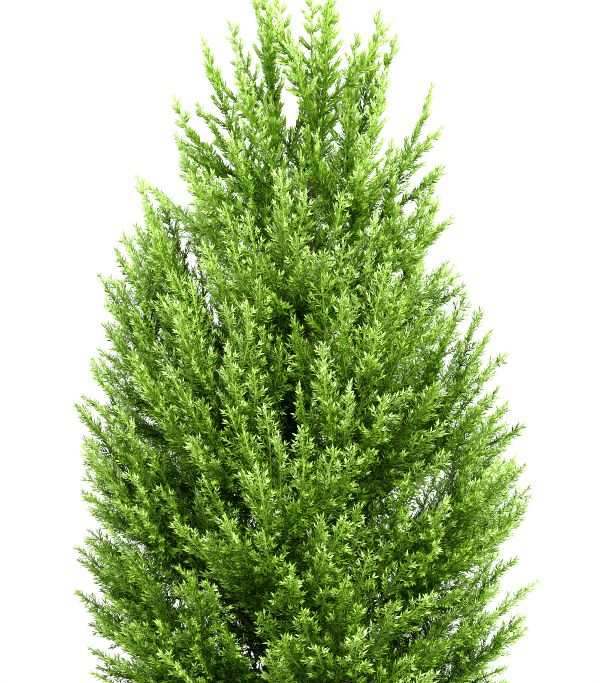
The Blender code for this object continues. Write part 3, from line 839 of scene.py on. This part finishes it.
def makeNeedles(corners, light, nodes):
    # deals the needles out by tone, each tone in pieces of a limited size
    colours = toneSet["colours"]
    tone = np.clip((light * len(colours)).astype(int), 0, len(colours) - 1)
    for number, (name, colour) in enumerate(colours):
        chosen = corners[tone == number]
        if not len(chosen):
            continue
        material = needleMaterial(name, colour)
        parts = math.ceil(len(chosen) / toneSet["mostNeedles"])
        for part, group in enumerate(np.array_split(chosen, parts)):
            base = np.arange(len(group)) * 4
            left = np.stack((base, base + 1, base + 2), axis=1)
            right = np.stack((base, base + 2, base + 3), axis=1)
            faces = np.concatenate((left, right))
            makePiece(f"needles{name}{part + 1}", group.reshape(-1, 3), faces, material, nodes)
        print(f"needles {name}: {len(chosen)} in {parts}")


# Stems and shoots
stemSet = {
    "radii": (0.0015, 0.0006), "segments": 12, "sides": 5, "end": 0.62, "leaderFrom": 0.380,
    "seam": (0.2, 0.3, 1.0), "light": -0.05, "rise": 0.1, "roughness": 0.6, "specular": 0.15,
    # each tone's name, up to where it goes, and its colour
    "tones": (
        ("Brown", 0.16, (0.068, 0.049, 0.010)), ("Olive", 0.34, (0.050, 0.088, 0.005)),
        ("Green", 0.56, (0.140, 0.265, 0.017)), ("Lime", math.inf, (0.365, 0.560, 0.080)),
    ),
}


def stemShoots(plumes):
    # the plumes' stems, and last the trunk's upper end
    root = [plume.at(plume.limbEnd) for plume in plumes]
    go = [plume.along(plume.limbEnd) for plume in plumes]
    to = [plume.along(stemSet["end"]) for plume in plumes]
    length = [(plume.at(stemSet["end"]) - start).length for plume, start in zip(plumes, root)]
    root.append(trunkAxis(stemSet["leaderFrom"]))
    end = trunkAxis(trunkForm["top"])
    go.append((end - root[-1]).normalized())
    to.append(go[-1])
    length.append((end - root[-1]).length)
    root, go, to = (np.array([tuple(v) for v in part]) for part in (root, go, to))
    side = unit(np.cross(go, stemSet["seam"]))
    return Shoots(root, go, to, np.array(length), side, np.full(len(root), stemSet["light"]))


def makeShoots(name, tubeSets, nodes):
    # tubes dealt out by tone, from brown deep in the crown to lime at the shoots' ends: partly the real
    # brown of older wood and green of young shoots, partly painted shade deep in the crown and painted
    # light at its outline and top
    points, faces = joined([made[:2] for made, shoots, rise in tubeSets])
    # the tone by place is painted light and shade
    light = paintedLightAndShade(points[faces].mean(axis=1))
    light += np.concatenate([shoots.light[made[2]] for made, shoots, rise in tubeSets])
    light += np.concatenate([rise * made[3] for made, shoots, rise in tubeSets])
    lower = -math.inf
    for tone, upper, colour in stemSet["tones"]:
        chosen = faces[(light >= lower) & (light < upper)]
        lower = upper
        if not len(chosen):
            continue
        used, renamed = np.unique(chosen, return_inverse=True)
        material = plainMaterial(f"{name}{tone}", colour, stemSet)[0]
        makePiece(f"{name}{tone}", points[used], renamed.reshape(-1, 3), material, nodes, smooth=True)
        print(f"{name} {tone}: {len(chosen)} triangles")


def makeFoliage(plumes):
    nodes = [plume.name for plume in plumes]
    feathers = Feathers()
    for plume in plumes:
        feathers.growTwigs(plume)
        feathers.growFiner(plume)
    feathers.growLeader()
    feathers.seek(plumes, "outer")
    for plume in plumes:
        feathers.growInner(plume)
    feathers.seek(plumes, "inner")
    chance = np.random.default_rng(shootSet["seed"])
    stems = stemShoots(plumes)
    limbs = stems.kept(np.arange(len(plumes)))
    limbTubes = tubes(limbs, stemSet["radii"], stemSet["segments"], sides=stemSet["sides"])
    makeShoots("stems", [(limbTubes, limbs, stemSet["rise"])], nodes)
    along = toneSet["feather"] + toneSet["axis"] * toneSet["shoot"]
    grown = [needlesOn(stems, needleForms["pressed"], stemSet["rise"], chance)]
    for kind, forms in kindSets.items():
        axes = featherAxes([f for f in feathers.made if f.kind == kind], chance)
        shoots = sideShoots(axes, chance, forms["spacing"])
        axisTubes = tubes(axes, shootSet["axisRadii"], shootSet["axisSegments"])
        shootTubes = tubes(shoots, shootSet["radii"], shootSet["segments"])
        tubeSets = [
            (axisTubes, axes, along + toneSet["axisWood"]),
            (shootTubes, shoots, toneSet["shoot"]),
        ]
        makeShoots(f"{kind}Shoots", tubeSets, nodes)
        print(f"{kind}: {len(axes.length)} feathers, {len(shoots.length)} side shoots")
        for form in forms["shoots"]:
            grown.append(needlesOn(shoots, needleForms[form], toneSet["shoot"], chance))
        for form in forms["axis"]:
            grown.append(needlesOn(axes, needleForms[form], along, chance))
    corners, light = (np.concatenate(part) for part in zip(*grown))
    print(f"needles: {len(corners)}")
    makeNeedles(corners, light, nodes)


def makeFloor():
    turns = np.linspace(0, 2 * np.pi, floorSet["sides"], endpoint=False)
    points = [(floorSet["radius"] * math.cos(t), floorSet["radius"] * math.sin(t), 0.0) for t in turns]
    mesh = bpy.data.meshes.new("floor")
    mesh.from_pydata(points, [], [tuple(range(len(points)))])
    made, shader, wire = startMaterial("paleFloor")
    place = wire.node("ShaderNodeTexCoord", {}, {}, output=3)
    middle = wire.node("ShaderNodeVectorMath", {"operation": "LENGTH"}, {0: place}, output=1)
    edge = fromRange((floorSet["fadeFrom"], floorSet["radius"]))
    fade = wire.node("ShaderNodeMapRange", {}, {"Value": middle, **edge})
    shader.inputs["Base Color"].default_value = (*floorSet["colour"], 1.0)
    shader.inputs["Roughness"].default_value = floorSet["roughness"]
    mixShader(shader, wire, fade, wire.node("ShaderNodeEmission", {}, {"Color": white}))
    mesh.materials.append(made)
    floor = bpy.data.objects.new("floor", mesh)
    bpy.context.scene.collection.objects.link(floor)


makeCamera()
makeLights()
makeFloor()
print("studio ready")
plumes = allPlumes()
makeBark(plumes)
print("bark ready")
makeFoliage(plumes)
print("foliage ready")
